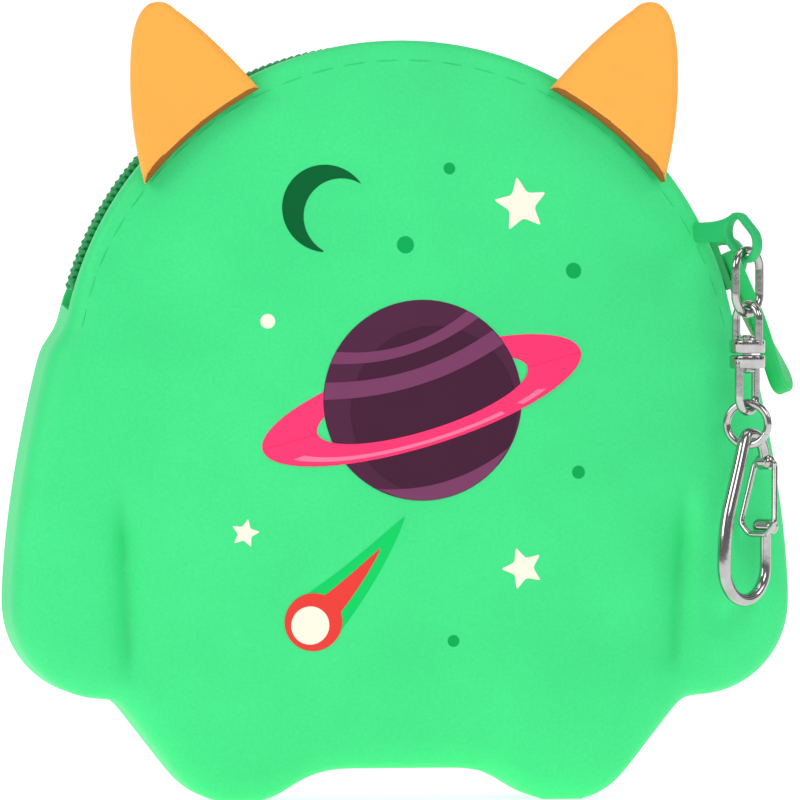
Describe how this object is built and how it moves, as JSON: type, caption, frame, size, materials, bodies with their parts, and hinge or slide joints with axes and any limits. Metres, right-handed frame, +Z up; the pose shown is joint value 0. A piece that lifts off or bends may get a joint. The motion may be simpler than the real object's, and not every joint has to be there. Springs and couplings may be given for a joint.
{
  "type": "zip coin purse",
  "caption": "Moulded silicone coin purse with a domed zip mouth, two horn plates, foot lobes, a pull strap and a swivel key clasp.",
  "frame": {"origin": "on the surface the purse stands on, under the middle of its whole size", "axes": "+X to the purse's left, seen as right in the front view, +Z up, the front faces -Y"},
  "size_m": [0.1215, 0.0336, 0.1212],
  "materials": {
    "silicone": "matte moulded silicone",
    "horn_silicone": "matte moulded silicone",
    "strap_silicone": "satin moulded silicone",
    "zip_tape": "woven tape",
    "zip_nylon": "nylon coil",
    "slider_enamel": "enamelled die casting",
    "nickel": "polished nickel plate"
  },
  "bodies": {
    "pouch": {"body_shell": "silicone", "rear_zip_tape": "zip_tape", "rear_zip_coil": "zip_nylon", "rear_top_stop": "zip_nylon", "bottom_stop": "zip_nylon"},
    "front_flap": {"front_panel": "silicone", "left_horn": "horn_silicone", "right_horn": "horn_silicone", "front_zip_tape": "zip_tape", "front_zip_coil": "zip_nylon", "front_top_stop": "zip_nylon"},
    "slider": {"slider_body": "slider_enamel"},
    "pull_strap": {"pull_tab": "strap_silicone"},
    "link": {"oval_link": "nickel"},
    "swivel_top": {"swivel_upper_loop": "nickel", "swivel_rivet": "nickel"},
    "swivel_bottom": {"swivel_lower_loop": "nickel"},
    "ring": {"jump_ring": "nickel"},
    "clasp": {"clasp_body": "nickel"},
    "gate": {"clasp_gate": "nickel"}
  },
  "joints": [
    {"name": "zip_travel", "type": "hinge", "parent": "pouch", "child": "slider", "pos_m": [-0.0009, 0.0058, 0.0634], "axis": [0, -1, 0], "range_deg": [0, 136], "deforming": ["rear_zip_coil", "front_zip_coil", "front_zip_tape"]},
    {"name": "mouth_flex", "type": "hinge", "parent": "pouch", "child": "front_flap", "pos_m": [-0.0009, -0.00663, 0.088], "axis": [1, 0, 0], "range_deg": [0, 30]},
    {"name": "pull_swing", "type": "hinge", "parent": "slider", "child": "pull_strap", "pos_m": [0.0506, 0.0058, 0.08214], "axis": [0, -1, 0], "range_deg": [0, 150]},
    {"name": "link_swing", "type": "hinge", "parent": "pouch", "child": "link", "pos_m": [0.05022, -0.012, 0.0846], "axis": [-0.8832, -0.469, 0], "range_deg": [0, 50]},
    {"name": "swivel_swing", "type": "hinge", "parent": "link", "child": "swivel_top", "pos_m": [0.05022, -0.012, 0.07405], "axis": [-0.766, -0.6428, 0], "range_deg": [0, 35]},
    {"name": "swivel_spin", "type": "hinge", "parent": "swivel_top", "child": "swivel_bottom", "pos_m": [0.05022, -0.012, 0.06775], "axis": [0, 0, 1], "continuous": true},
    {"name": "ring_swing", "type": "hinge", "parent": "swivel_bottom", "child": "ring", "pos_m": [0.05022, -0.012, 0.05915], "axis": [-0.7071, -0.7071, 0], "range_deg": [0, 35]},
    {"name": "clasp_swing", "type": "hinge", "parent": "ring", "child": "clasp", "pos_m": [0.05022, -0.012, 0.0541], "axis": [-0.9063, 0.4226, 0], "range_deg": [0, 35]},
    {"name": "gate_spring", "type": "hinge", "parent": "clasp", "child": "gate", "pos_m": [0.05349, -0.00906, 0.05144], "axis": [-0.6691, 0.7431, 0], "range_deg": [0, 28], "stiffness_Nm_per_rad": 0.01}
  ],
  "couplings": [
    {"joint": "mouth_flex", "follows": "zip_travel", "ratio": 0.22059}
  ]
}
